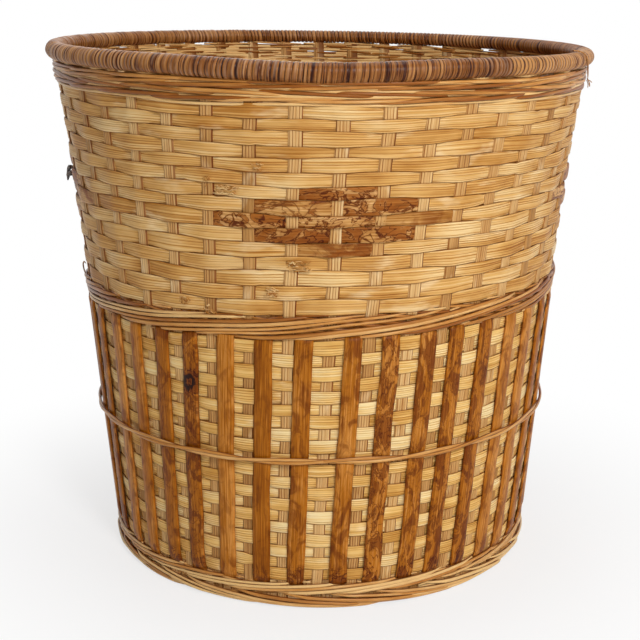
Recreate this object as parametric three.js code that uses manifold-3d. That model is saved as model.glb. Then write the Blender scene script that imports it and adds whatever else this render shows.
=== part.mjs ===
import * as THREE from "three";
import { mergeVertices } from "three/addons/utils/BufferGeometryUtils.js";
import Module from "manifold-3d";

// A round wastebasket of split bamboo and cane, in millimetres, +Z up, flaring from foot to rim.
// The origin is the middle of the foot, on the floor. Angles run from the front (-Y) towards +X.
//
// An odd number of upright stakes grows from the woven base. In each of two zones one flat weaver
// spirals through them, so that every turn passes in front of the stakes that the turn below it
// passed behind. Bands of waled rod part the zones, dark slats stand over the lower one, and the
// rim is a pair of hoops bound with cane.

// Radius of the line of stakes, and the overall width
const FOOT_RADIUS = 117.5;
const WAIST_RADIUS = 130.3;
const RIM_DIAMETER = 300;

// Base
const BASE_THICKNESS = 2.4;
const BASE_BORDER = 0.8;
const FOOT_HOOP_WIDTH = 4.4;
const FOOT_HOOP_HEIGHT = 2.6;

// Upright stakes, all leaning the same way round the basket
const STAKE_COUNT = 41;
const STAKE_FOOT_WIDTH = 5.6;
const STAKE_TOP_WIDTH = 7;
const STAKE_THICKNESS = 0.9;
const STAKE_LEAN_DEG = 6;
const FIRST_STAKE_DEG = -1.1;

// Flat weavers
const WEAVER_THICKNESS = 0.8;
const LOWER_ROWS = 20;
const LOWER_PITCH = 6.65;
const UPPER_ROWS = 15;
const UPPER_PITCH = 6.86;

// Bands of waled rod
const FOOT_ROWS = 3;
const FOOT_ROD_PITCH = 4.2;
const FOOT_ROD_THICKNESS = 3;
const WAIST_ROWS = 4;
const WAIST_ROD_PITCH = 3.15;
const WAIST_ROD_THICKNESS = 2.6;
const TOP_ROWS = 3;
const TOP_ROD_PITCH = 3.1;
const TOP_ROD_THICKNESS = 1.6;

// Dark slats over the lower zone, and the cane twined round them
const SLAT_WIDTH = 9.3;
const SLAT_THICKNESS = 1.2;
const SLAT_CROWN = 0.4;
const TWINE_LEVEL = 85;
const TWINE_HEIGHT = 4;
const TWINE_THICKNESS = 1.8;

// Rim: two hoops nip the stakes, and lengths of cane are wound round all three
const RIM_THICKNESS = 11;
const RIM_SIGHT_GAP = 0.9;
const BINDING_THICKNESS = 0.9;
const BINDING_SLOT_WIDTH = 2.8;
const BINDING_CORNERS = 6;
const BINDING_JOINTS_DEG = [-28, 24, 37.5, 198.5];
const HOOP_HEIGHT = 7.4;
const STAKE_RECESS = 1.3;

// Clearance between pieces that lie against each other, and between two turns of a strand
const CLEARANCE = 0.3;
const TURN_GAP = 0.45;

// A strand climbs to its next row over this many bays at the back, and its ends taper to this height
const CLIMB_BAYS = 14;
const CLIMB_START = 14;
const END_HEIGHT = 0.5;

const BAY = (2 * Math.PI) / STAKE_COUNT;
const FIRST_STAKE = THREE.MathUtils.degToRad(FIRST_STAKE_DEG);

// Levels, from the floor up
const FOOT_WALE_BOTTOM = BASE_THICKNESS + CLEARANCE;
const LOWER_BOTTOM = FOOT_WALE_BOTTOM + FOOT_ROWS * FOOT_ROD_PITCH;
const WAIST_WALE_BOTTOM = LOWER_BOTTOM + LOWER_ROWS * LOWER_PITCH;
const UPPER_BOTTOM = WAIST_WALE_BOTTOM + WAIST_ROWS * WAIST_ROD_PITCH;
const TOP_WALE_BOTTOM = UPPER_BOTTOM + UPPER_ROWS * UPPER_PITCH;
const RIM_BOTTOM = TOP_WALE_BOTTOM + TOP_ROWS * TOP_ROD_PITCH + RIM_SIGHT_GAP;
const RIM_LEVEL = RIM_BOTTOM + RIM_THICKNESS / 2;
const WAIST_LEVEL = (WAIST_WALE_BOTTOM + UPPER_BOTTOM) / 2;
const STAKE_TOP = RIM_BOTTOM + RIM_THICKNESS - BINDING_THICKNESS - STAKE_RECESS;
const RIM_RADIUS = RIM_DIAMETER / 2 - RIM_THICKNESS / 2;

// The line of stakes flares in two straight stretches that meet at the waist.
function wallRadius(z) {
  if (z < WAIST_LEVEL)
    return THREE.MathUtils.mapLinear(z, 0, WAIST_LEVEL, FOOT_RADIUS, WAIST_RADIUS);
  return THREE.MathUtils.mapLinear(z, WAIST_LEVEL, RIM_LEVEL, WAIST_RADIUS, RIM_RADIUS);
}

// Angle of a stake at a height. Halves are the bays between two stakes.
function stakeAngle(stake, z) {
  const lean = THREE.MathUtils.degToRad(STAKE_LEAN_DEG) * (z / RIM_LEVEL);
  return FIRST_STAKE + stake * BAY + lean;
}

function polar(radius, angle, z) {
  return new THREE.Vector3(radius * Math.sin(angle), -radius * Math.cos(angle), z);
}

// How far a straight run between two stakes falls short of the true circle
const BAY_SAG = RIM_RADIUS * (1 - Math.cos(BAY / 2));

// How far a strand's middle swings out and in, so that its run between two stakes clears their corners
function swing(thickness) {
  const fill = Math.max(STAKE_FOOT_WIDTH / FOOT_RADIUS, STAKE_TOP_WIDTH / RIM_RADIUS) / BAY;
  return (thickness / 2 + STAKE_THICKNESS / 2 + CLEARANCE + BAY_SAG) / (1 - fill);
}

// Slats lie on the weaver where it comes out between two stakes.
const SLAT_EDGE = (BAY * FOOT_RADIUS - SLAT_WIDTH) / 2;
const SLAT_SEAT =
  swing(WEAVER_THICKNESS) * (1 - (2 * SLAT_EDGE) / (BAY * FOOT_RADIUS)) + WEAVER_THICKNESS / 2 + CLEARANCE;

// Triangles of a cap, laced from both ends of an outline towards its middle
function cap(corners) {
  const triangles = [];
  let low = 0;
  let high = corners - 1;
  while (high - low > 1) {
    triangles.push([low, low + 1, high]);
    low += 1;
    if (high - low === 1) break;
    triangles.push([low, high - 1, high]);
    high -= 1;
  }
  return triangles;
}

// A closed skin over cross-sections that all have the same corners. It ends in caps, or it is a ring.
function loft(sections, isRing) {
  const corners = sections[0].length;
  const spans = isRing ? sections.length : sections.length - 1;
  const index = [];
  for (let i = 0; i < spans; i++) {
    const here = i * corners;
    const next = ((i + 1) % sections.length) * corners;
    for (let j = 0; j < corners; j++) {
      const k = (j + 1) % corners;
      index.push(here + j, here + k, next + k, here + j, next + k, next + j);
    }
  }
  if (!isRing) {
    const last = spans * corners;
    for (const [a, b, c] of cap(corners)) index.push(a, c, b, last + a, last + b, last + c);
  }
  const geometry = new THREE.BufferGeometry().setFromPoints(sections.flat());
  geometry.setIndex(index);
  geometry.computeVertexNormals();
  return geometry;
}

// Rows that a strand has laid when it reaches a station: one more in each turn, gained at the back
function rowsLaid(station) {
  const turns = Math.floor(station / STAKE_COUNT);
  return turns + Math.min(1, (station % STAKE_COUNT) / CLIMB_BAYS);
}

// One split strand, flat inside and crowned outside, spiralling up through the stakes. Its first
// turn grows from nothing and its last one shrinks to nothing, so that the band ends level.
function wovenBand({ bottom, rows, pitch, thickness, firstStake }) {
  const reach = swing(thickness);
  const sections = [];
  for (let station = 0; station <= rows * STAKE_COUNT + CLIMB_BAYS; station++) {
    const low = bottom + Math.max(0, rowsLaid(station) - 1) * pitch + TURN_GAP / 2;
    const high = bottom + Math.min(rows, rowsLaid(station)) * pitch - TURN_GAP / 2;
    if (high - low < END_HEIGHT) continue;
    const offset = station % 2 ? reach : -reach;
    const corner = (z, depth) =>
      polar(wallRadius(z) + offset + depth, stakeAngle(firstStake + station, z), z);
    sections.push([
      corner(low, -thickness / 2),
      corner(high, -thickness / 2),
      corner((low + high) / 2, thickness / 2),
    ]);
  }
  return loft(sections, false);
}

// A hoop through one station at each stake. Its outline is given as pairs of radius and height.
function hoop(outline, firstStake, level) {
  const sections = [];
  for (let i = 0; i < STAKE_COUNT; i++)
    sections.push(outline.map(([radius, z]) => polar(radius, stakeAngle(firstStake + i, level), z)));
  return loft(sections, true);
}

function boxOutline(inner, outer, low, high) {
  return [
    [inner, low],
    [inner, high],
    [outer, high],
    [outer, low],
  ];
}

// A strip that stands along the wall. Its outline at a level is given as pairs of distance across
// the strip and depth outwards from the line of stakes.
function uprightStrip(stake, levels, outlineAt) {
  const sections = levels.map((z) => {
    const angle = stakeAngle(stake, z);
    const across = polar(1, angle + Math.PI / 2, 0);
    return outlineAt(z).map(([side, depth]) =>
      polar(wallRadius(z) + depth, angle, z).addScaledVector(across, side),
    );
  });
  return loft(sections, false);
}

function stakeOutline(z) {
  const half = THREE.MathUtils.mapLinear(z, 0, STAKE_TOP, STAKE_FOOT_WIDTH, STAKE_TOP_WIDTH) / 2;
  const depth = STAKE_THICKNESS / 2;
  return [
    [-half, -depth],
    [-half, depth],
    [half, depth],
    [half, -depth],
  ];
}

function slatOutline() {
  const half = SLAT_WIDTH / 2;
  const edge = SLAT_SEAT + SLAT_THICKNESS - SLAT_CROWN;
  return [
    [-half, SLAT_SEAT],
    [-half, edge],
    [0, SLAT_SEAT + SLAT_THICKNESS],
    [half, edge],
    [half, SLAT_SEAT],
  ];
}

// Base: a round mat whose strips turn up at its edge and are the stakes
const wasm = await Module();
wasm.setup();

function toSolid(geometry) {
  const bare = geometry.clone();
  bare.deleteAttribute("normal");
  bare.deleteAttribute("uv");
  const merged = mergeVertices(bare);
  const vertProperties = new Float32Array(merged.attributes.position.array);
  const triVerts = new Uint32Array(merged.index.array);
  return new wasm.Manifold(new wasm.Mesh({ numProp: 3, vertProperties, triVerts }));
}

function toGeometry(solid) {
  const { vertProperties, triVerts } = solid.getMesh();
  const geometry = new THREE.BufferGeometry();
  geometry.setAttribute("position", new THREE.BufferAttribute(vertProperties, 3));
  geometry.setIndex(new THREE.BufferAttribute(triVerts, 1));
  geometry.computeVertexNormals();
  return geometry;
}

const BASE_RADIUS = wallRadius(BASE_THICKNESS) + STAKE_THICKNESS / 2 + BASE_BORDER;

function baseAndStakes() {
  const mat = new THREE.CylinderGeometry(BASE_RADIUS, BASE_RADIUS, BASE_THICKNESS, STAKE_COUNT);
  mat.rotateX(Math.PI / 2).translate(0, 0, BASE_THICKNESS / 2);
  let whole = toSolid(mat);
  for (let i = 0; i < STAKE_COUNT; i++) {
    const levels = [BASE_THICKNESS / 2, WAIST_LEVEL, STAKE_TOP];
    whole = whole.add(toSolid(uprightStrip(i, levels, stakeOutline)));
  }
  return toGeometry(whole);
}

// Rim: the outline of a round section is laid out by angle from its lowest point, inner side first.
function rimPoint(radius, turn) {
  return [RIM_RADIUS - radius * Math.sin(turn), RIM_LEVEL - radius * Math.cos(turn)];
}

const RIM_SLOT = STAKE_THICKNESS / 2 + CLEARANCE + BAY_SAG;
const BINDING_OUTSIDE = RIM_THICKNESS / 2;
const BINDING_INSIDE = BINDING_OUTSIDE - BINDING_THICKNESS;
const SLOT_TURN = Math.asin(BINDING_SLOT_WIDTH / 2 / BINDING_INSIDE);
const CORNER_TURN = (2 * (Math.PI - SLOT_TURN)) / (BINDING_CORNERS - 1);

// The cane is wound through the gaps between the stakes, so its section is open below.
function bindingOutline() {
  const turns = Array.from({ length: BINDING_CORNERS }, (_, i) => SLOT_TURN + i * CORNER_TURN);
  const outside = turns.map((turn) => rimPoint(BINDING_OUTSIDE, turn));
  const inside = turns.map((turn) => rimPoint(BINDING_INSIDE, turn)).reverse();
  return [...outside, ...inside];
}

// A hoop lath is flat against the stakes and rounded where the cane passes over it.
function lathOutline(side) {
  const low = RIM_LEVEL - HOOP_HEIGHT / 2;
  const high = RIM_LEVEL + HOOP_HEIGHT / 2;
  const corners = [1, 2].map((i) => rimPoint(BINDING_INSIDE - CLEARANCE, SLOT_TURN + i * CORNER_TURN));
  const inner = [[wallRadius(low) - RIM_SLOT, low], ...corners, [wallRadius(high) - RIM_SLOT, high]];
  if (side === "inner") return inner;
  return [
    [wallRadius(low) + RIM_SLOT, low],
    [wallRadius(high) + RIM_SLOT, high],
    ...corners.map(([radius, z]) => [2 * RIM_RADIUS - radius, z]).reverse(),
  ];
}

// One length of binding between two joints. Between stations it follows the straight runs of the hoops.
function bindingLength(fromDeg, toDeg) {
  const outline = bindingOutline();
  const stationOf = (degrees) =>
    (THREE.MathUtils.degToRad(degrees) - stakeAngle(0, RIM_LEVEL)) / BAY;
  const endGap = CLEARANCE / 2 / (BAY * RIM_RADIUS);
  const start = stationOf(fromDeg) + endGap;
  const end = stationOf(toDeg) - endGap;
  const stations = [start];
  for (let i = Math.ceil(start); i < end; i++) stations.push(i);
  stations.push(end);
  const sections = stations.map((station) => {
    const before = Math.floor(station);
    const at = (i, [radius, z]) => polar(radius, stakeAngle(i, RIM_LEVEL), z);
    return outline.map((corner) => at(before, corner).lerp(at(before + 1, corner), station - before));
  });
  return loft(sections, false);
}

const FINISHES = {
  stake: { color: 0xc79a62, roughness: 0.7 },
  lowerStraw: { color: 0xe0c08a, roughness: 0.65 },
  upperStraw: { color: 0xd0a262, roughness: 0.65 },
  rod: { color: 0xc28c55, roughness: 0.5 },
  bark: { color: 0x9c6228, roughness: 0.45 },
  lath: { color: 0xc8a574, roughness: 0.7 },
  binding: { color: 0xa5683c, roughness: 0.4 },
};

const basket = new THREE.Group();
function add(name, geometry, finish) {
  const mesh = new THREE.Mesh(geometry, new THREE.MeshStandardMaterial(FINISHES[finish]));
  mesh.name = name;
  basket.add(mesh);
}

function numbered(name, index) {
  return `${name}_${String(index + 1).padStart(2, "0")}`;
}

add("base_and_stakes", baseAndStakes(), "stake");

const footHoopInner = BASE_RADIUS + CLEARANCE + BAY_SAG;
const footHoopOutline = boxOutline(footHoopInner, footHoopInner + FOOT_HOOP_WIDTH, 0, FOOT_HOOP_HEIGHT);
add("foot_hoop", hoop(footHoopOutline, 0, 0), "rod");

const BANDS = {
  foot_wale: {
    bottom: FOOT_WALE_BOTTOM,
    rows: FOOT_ROWS,
    pitch: FOOT_ROD_PITCH,
    thickness: FOOT_ROD_THICKNESS,
    firstStake: CLIMB_START,
    finish: "rod",
  },
  lower_weaver: {
    bottom: LOWER_BOTTOM,
    rows: LOWER_ROWS,
    pitch: LOWER_PITCH,
    thickness: WEAVER_THICKNESS,
    firstStake: CLIMB_START - 1,
    finish: "lowerStraw",
  },
  waist_wale: {
    bottom: WAIST_WALE_BOTTOM,
    rows: WAIST_ROWS,
    pitch: WAIST_ROD_PITCH,
    thickness: WAIST_ROD_THICKNESS,
    firstStake: CLIMB_START,
    finish: "rod",
  },
  upper_weaver: {
    bottom: UPPER_BOTTOM,
    rows: UPPER_ROWS,
    pitch: UPPER_PITCH,
    thickness: WEAVER_THICKNESS,
    firstStake: CLIMB_START,
    finish: "upperStraw",
  },
  top_wale: {
    bottom: TOP_WALE_BOTTOM,
    rows: TOP_ROWS,
    pitch: TOP_ROD_PITCH,
    thickness: TOP_ROD_THICKNESS,
    firstStake: CLIMB_START,
    finish: "rod",
  },
};
for (const [name, band] of Object.entries(BANDS)) add(name, wovenBand(band), band.finish);

const slatLevels = [LOWER_BOTTOM + CLEARANCE, WAIST_WALE_BOTTOM - CLEARANCE];
for (let i = 0; i < STAKE_COUNT; i++)
  add(numbered("slat", i), uprightStrip(i + 0.5, slatLevels, slatOutline), "bark");

const twineInner = wallRadius(TWINE_LEVEL) + SLAT_SEAT + SLAT_THICKNESS + CLEARANCE + BAY_SAG;
const twineOutline = boxOutline(
  twineInner,
  twineInner + TWINE_THICKNESS,
  TWINE_LEVEL - TWINE_HEIGHT / 2,
  TWINE_LEVEL + TWINE_HEIGHT / 2,
);
add("slat_twine", hoop(twineOutline, 0.5, TWINE_LEVEL), "rod");

add("rim_hoop_inner", hoop(lathOutline("inner"), 0, RIM_LEVEL), "lath");
add("rim_hoop_outer", hoop(lathOutline("outer"), 0, RIM_LEVEL), "lath");
BINDING_JOINTS_DEG.forEach((joint, i) => {
  const nextJoint = BINDING_JOINTS_DEG[i + 1] ?? BINDING_JOINTS_DEG[0] + 360;
  add(numbered("rim_binding", i), bindingLength(joint, nextJoint), "binding");
});

export default basket;
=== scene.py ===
"""Looks of the woven wastebasket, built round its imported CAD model. Lengths are metres.

Angles run from the front (-Y) towards +X. A station is a place along the wall counted in stakes, so
whole stations are stakes and halves are the bays between them.
"""

import math
from typing import NamedTuple

import bpy
import numpy as np
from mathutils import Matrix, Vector


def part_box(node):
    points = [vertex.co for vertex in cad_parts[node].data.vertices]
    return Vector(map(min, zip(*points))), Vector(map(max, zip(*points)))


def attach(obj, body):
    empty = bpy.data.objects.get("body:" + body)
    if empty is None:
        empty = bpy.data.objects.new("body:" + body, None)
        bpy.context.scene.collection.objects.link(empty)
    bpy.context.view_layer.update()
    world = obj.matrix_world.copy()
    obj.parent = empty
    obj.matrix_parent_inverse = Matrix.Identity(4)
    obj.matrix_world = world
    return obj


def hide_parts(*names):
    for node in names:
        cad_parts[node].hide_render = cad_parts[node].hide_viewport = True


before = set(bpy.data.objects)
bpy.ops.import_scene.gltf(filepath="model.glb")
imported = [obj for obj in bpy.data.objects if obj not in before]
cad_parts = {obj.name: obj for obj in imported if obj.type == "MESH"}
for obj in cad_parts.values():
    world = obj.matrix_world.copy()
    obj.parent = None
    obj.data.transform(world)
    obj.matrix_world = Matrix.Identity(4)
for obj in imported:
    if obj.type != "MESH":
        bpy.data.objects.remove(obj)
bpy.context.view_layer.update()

MM = 0.001

# Stakes. They lean by LEAN radians for each metre of height.
STAKES = 41
BAY = 2 * math.pi / STAKES
FIRST_STAKE = math.radians(-1.1)
RIM_LEVEL = 279.9 * MM
LEAN = math.radians(6) / (279.5 * MM)
STAKE_BOTTOM = 1 * MM
STAKE_FOOT_WIDTH = 5.8 * MM
STAKE_TOP_WIDTH = 7 * MM
STAKE_THICKNESS = 0.9 * MM
STAKE_CROWN = 0.1 * MM
STAKE_GROOVES = 4
STAKE_CORNERS = 17

# Radius of the line of stakes at heights above the floor
WALL_LEVELS = np.array([0, 26, 77, 139, 167, 190, 222, 257, 280]) * MM
WALL_RADII = np.array([117.8, 120.0, 124.5, 129.6, 132.6, 134.8, 138.3, 142.6, 144.6]) * MM
WAIST_LEVEL = 155 * MM

# The rows sink to the left at the waist and to the right at the rim, by these lengths a quarter turn
# away from the front. Stakes on the right stand closer together than the others.
TILT_LEVELS = np.array([0, 15, 155, 265, 290]) * MM
TILTS = np.array([0, 0, 2.0, -2.1, -2.1]) * MM
CROWD_ANGLES = np.radians([-180, 20, 38, 50, 65, 100, 180])
CROWD_SHIFTS = np.radians([0, 0, -1.2, -2.0, -2.8, 0, 0])

# Rows of the upper zone are beaten closer together towards its top.
BOW = 2.9 * MM

# All rows ripple, but for the foot and the rim. A wave: how many go round, and radians a metre upwards.
RIPPLE = 0.22 * MM
RIPPLE_LEVELS = np.array([0, 20, 260, 272]) * MM
RIPPLE_SHARES = [0, 1, 1, 0]
RIPPLE_WAVES = ((3, 47), (7, -61), (11, 83))

# Strips. Their edges lose a share of their thickness, their inner side is a little narrower, and none
# has the same small ridges as the next.
STRIP_CORNERS = 11
EDGE_LOSS = 0.8
EDGE_POWER = 8
INNER_WIDTH = 0.98
GROOVE_DEPTH = 0.16 * MM
RIDGE = 0.05 * MM
UPRIGHT_STEP = 2.5 * MM
UPRIGHT_SWAY = 0.25 * MM

# Weavers. Their rows overlap behind and in front of the stakes, and part in a few places. STEP is the
# distance between cross-sections, and WEAVER_SHORT how far the ends stop short, both in stations.
STEP = 0.125
WEAVER_SHORT = 0.4
WEAVER_THICKNESS = 0.6 * MM
WEAVER_SWING = 0.88 * MM
SWING_SLOPE = 1.15
WEAVER_CROWN = 0.12 * MM
WEAVER_TWIST = 0.16 * MM
ROW_WANDER = 0.45 * MM
ROW_OVERLAP = 0.28 * MM
ROW_PARTING = 1.1 * MM
PARTING_ABOVE = 1.3
LOWER_ROWS = 20
UPPER_ROWS = 15
CLIMB_BAYS = 14
CLIMB_START = 14

# Diamonds of bark strips: the row and the stakes in their middles, and how far they reach from there
MOTIF_ROW = 6
MOTIF_STAKES = (0, 10, 20, 31)
MOTIF_REACH = 2
MOTIF_CROWN = 0.25 * MM
MOTIF_THICKNESS = 0.5 * MM
MOTIF_LIFT = 0.6 * MM
MOTIF_WIDTH = 0.97
MOTIF_END = 0.97
MOTIF_SECTIONS = 25

# Slats. Near the front: degrees from the middle of the bay, and how mottled the bark is.
SLAT_WIDTH = 9.2 * MM
SLAT_SEAT = 1.25 * MM
SLAT_THICKNESS = 1.1 * MM
SLAT_CROWN = 0.45 * MM
SLAT_OVERRUN = 2 * MM
SLAT_TUCK = 5 * MM
SLAT_TUCK_DEPTH = 1.1 * MM
SLAT_SHIFTS = {-4: -1.0, -3: -0.9, -2: -0.9, -1: -1.0, 0: 0.7, 1: 0.2, 2: 0.5, 3: -0.4}
SLAT_MOTTLES = {-4: 0.7, -3: 0.1, -2: 0.1, -1: 0.4, 0: 0.45, 1: 0.9, 2: 0.65, 3: 0.7}
STAIN_LEVEL = 26 * MM
STAIN_REACH = 6 * MM
KNOT_SLAT = -4
KNOT_LEVEL = 123 * MM
KNOT_REACH = 4 * MM
KNOT_HALF_WIDTH = SLAT_WIDTH / 3
KNOT_MARK = 5.0

# Rods of the waled bands, in strokes: one stretch of rod in sight, with both ends tucked in. At the back
# a slit stays between the top band and the rim.
ROD_DEPTH = 2.0 * MM
ROD_HEIGHT = 2.0 * MM
ROD_GIRTH = 8 * MM
ROD_CORNERS = 10
STROKE_STEPS = 8
STROKE_END = 1.2
STROKE_TUCK = 2.6 * MM
STROKE_WANDER = 0.22 * MM
STROKE_SWAY = 0.2 * MM
OUTER = 1
INNER = -1
DEEP = -0.8 * MM
INNER_ROWS = 4
INNER_OVERLAP = 0.5 * MM
TOP_ROWS = 4
TOP_DEEP_ROWS = 6
TOP_BAND_HIGH = 275.2 * MM

# The two canes twined round the slats
TWINE_DEPTH = 1.5 * MM
TWINE_HEIGHT = 1.9 * MM
TWINE_CROSSINGS = 20
TWINE_SEAT = 0.7 * MM
TWINE_RISE = 0.95 * MM
TWINE_SWING = 0.4 * MM

# Rim. It dips at the front, and is thinner at the back. Its binding differs in tone from place to place.
RIM_RADIUS = 145.1 * MM
RIM_DEPTH = 9.6 * MM
RIM_DIP = 1.8 * MM
RIM_DIP_REACH = math.radians(32)
RIM_ANGLES = np.radians([-180, -90, -20, 20, 60, 180])
RIM_HEIGHTS = np.array([7.8, 9.2, 9.8, 9.8, 8.6, 7.8]) * MM
RIM_TONE_ANGLES = np.radians([-180, -160, -110, -70, -30, -26, 20, 24, 36, 39, 75, 95, 180])
RIM_TONES = np.array([0.4, 0.45, 0.45, 0.55, 0.45, 0.3, 0.35, 0.15, 0.15, 0.9, 0.85, 0.3, 0.4])
RIM_CORNERS = 24

# The lengths of its binding: the degrees where each starts and ends, width of a turn, how uneven, seed
BINDINGS = (
    (-28, 24, 2.7 * MM, 0.35, 51),
    (24, 37.5, 2.4 * MM, 0.4, 52),
    (37.5, 198.5, 2.7 * MM, 0.08, 53),
    (198.5, 332, 2.8 * MM, 0.35, 54),
)

# A turn of the binding: its length in the UV map, the places of its cross-sections and its form
CANE_TURN = 1 * MM
TURN_PLACES = np.array([0, 0.08, 0.24, 0.5, 0.76, 0.92])
TURN_GROOVE = 0.5 * MM
TURN_GROOVE_REACH = 0.4
TURN_BULGE = 0.3 * MM
TURN_SLANT = 0.5 * MM
TURN_TONES = 0.35

# The laths inside the binding: four corners, cross-sections a bay and places round them in the UV map
LATH_DEPTHS = np.array([0.8, 0.8, 2.6, 2.6]) * MM
LATH_HEIGHTS = np.array([-3, 3, 2, -2]) * MM
LATH_STEPS = 4
LATH_AROUND = np.arange(5) * 3 * MM

# The mat of crossed strips in the base. MAT_COVER is a strip's half width as a share of their spacing.
MAT_STRIPS = 17
MAT_MARGIN = 0.5 * MM
MAT_THICKNESS = 0.8 * MM
MAT_CROWN = 0.1 * MM
MAT_LEVEL = 1.25 * MM
MAT_SWING = 0.5 * MM
MAT_COVER = 0.48
MAT_CORNERS = 7
MAT_STEPS = 12

# Splinters lifted from the weavers: degrees, height and reach to the sides in millimetres, how many
FRAYS = (
    (-18.5, 219.6, 7.5, 30),
    (-4.2, 184.0, 7.0, 26),
    (-29.3, 165.5, 5.0, 12),
    (-9.9, 172.2, 5.0, 10),
    (-22.4, 223.2, 3.0, 6),
    (-23.8, 163.0, 4.0, 8),
    (-12.0, 232.5, 4.0, 8),
    (118.0, 205.0, 5.0, 10),
    (-140.0, 190.0, 5.0, 10),
)
FRAY_SECTIONS = 12
FRAY_SEAT = 1.35 * MM
FRAY_WAVE = 0.35 * MM
FRAY_SPREAD_MM = 2.4

# Ends that have come loose: thickness in millimetres, then points in degrees, millimetres outwards from
# the wall and millimetres above the floor
LOOSE_SECTIONS = 24
OVER_RIM = (
    (62, 0.5, 285.2),
    (64, 2.5, 285.2),
    (65, 5, 283.5),
    (65.5, 5.9, 281),
    (66, 6, 278.5),
    (68, 5.2, 275),
    (73, 4, 271),
    (79, 3.4, 267.8),
)
CANE_ENDS = (
    (0.9, OVER_RIM),
    (0.7, ((78, 3.2, 268.5), (80, 4.6, 266), (81, 5.2, 263.5))),
    (0.5, ((79, 3.2, 268), (81, 5.4, 266.5), (82, 6.2, 265.5))),
    (0.5, ((79, 3, 267.5), (80, 4, 265.5), (80, 4.2, 263))),
    (0.8, ((-79, 2, 159.5), (-82, 3, 160.5), (-84, 3.6, 163), (-84, 2.6, 164.5), (-83, 1.6, 163.5))),
)
TUFT = (
    (2.2, ((-78, 1.6, 215.2), (-82, 3.0, 214.2), (-86, 4.6, 210.2), (-87, 6.2, 205.2))),
    (1.8, ((-77, 1.6, 213.2), (-82, 4.4, 210.2), (-85, 5.0, 207.2))),
    (1.2, ((-78, 1.6, 211.2), (-83, 4.0, 209.2), (-87, 6.2, 208.2))),
)

# Camera, fitted to the photograph's outlines of the rim, waist and foot
CAMERA_PLACE = (0, -0.7537, 0.3244)
CAMERA_TILT = math.radians(75.12)
CAMERA_LENS = 74.77
CAMERA_SENSOR = 36

# Lamps: place, size and watts. All look at one point in the basket.
LAMP_AIM = (0, 0, 0.15)
LAMPS = {
    "key": ((0.5, -1.38, 1.12), 0.35, 15.3),
    "front": ((0.2, -1.5, 0.5), 0.7, 1.2),
    "side": ((1.2, -0.9, 0.75), 0.9, 3.4),
    "top": ((0, 0.1, 1.8), 1.0, 8),
    "back": ((-0.3, 1.5, 0.9), 1.0, 3),
}
WORLD_LEVEL = 0.11

# Floor. It is this white to the camera near the basket, and quite white farther off.
FLOOR_REACH = 20
FLOOR_NEAR = 0.1
FLOOR_FAR = 0.32
FLOOR_WHITE = 0.7

# Heights of the CAD model's bands. Every rod of the top band lies above TOP_BAND_LOW.
UPPER_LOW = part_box("upper_weaver")[0].z
UPPER_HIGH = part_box("upper_weaver")[1].z
TOP_BAND_LOW = UPPER_HIGH - 3 * MM
FOOT_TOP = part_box("foot_wale")[1].z


def wall_radius(level):
    return np.interp(level, WALL_LEVELS, WALL_RADII)


def length_of(station):
    """Length along the wall, in metres, at the radius of the waist."""
    return station * BAY * wall_radius(WAIST_LEVEL)


def within_half_turn(angle):
    """The same angle between minus and plus half a turn."""
    return (angle + math.pi) % (2 * math.pi) - math.pi


def station_angle(station, level):
    """Angle of a station at a height."""
    plain = FIRST_STAKE + station * BAY + LEAN * level
    return plain + np.interp(within_half_turn(plain), CROWD_ANGLES, CROWD_SHIFTS)


def place(radius, angle, level):
    """Points at a radius, angle and height, on rows that tilt, bow and ripple as hand work does."""
    radius, angle, level = np.broadcast_arrays(radius, angle, level)
    lift = np.sin(angle) * np.interp(level, TILT_LEVELS, TILTS)
    share = np.clip((level - UPPER_LOW) / (UPPER_HIGH - UPPER_LOW), 0, 1)
    lift = lift + BOW * np.sin(math.pi * share)
    within = np.interp(level, RIPPLE_LEVELS, RIPPLE_SHARES)
    ripple = sum(np.sin(waves * angle + rate * level) for waves, rate in RIPPLE_WAVES)
    lift = lift + RIPPLE * within * ripple
    return np.stack([radius * np.sin(angle), -radius * np.cos(angle), level + lift], -1)


def rim_level(angle):
    """Height of the middle of the rim."""
    turned = np.abs(within_half_turn(angle))
    dip = np.cos(np.minimum(turned / RIM_DIP_REACH, 1) * math.pi / 2) ** 2
    return RIM_LEVEL - RIM_DIP * dip


def wander(x, seed, waves=7):
    """Smooth random values of about -1 to 1 along x, in waves some 2 to 10 units long."""
    rng = np.random.default_rng(seed)
    rates = rng.uniform(0.6, 3.0, waves)
    starts = rng.uniform(0, 2 * math.pi, waves)
    x = np.asarray(x, float)[..., None]
    return np.sin(x * rates + starts).sum(-1) / math.sqrt(waves)


def closed(across):
    """Places round a cross-section, with the first once more at the end."""
    return np.concatenate([across, across[:1]])


def add_object(name, data):
    made = bpy.data.objects.new(name, data)
    bpy.context.scene.collection.objects.link(made)
    return made


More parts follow.
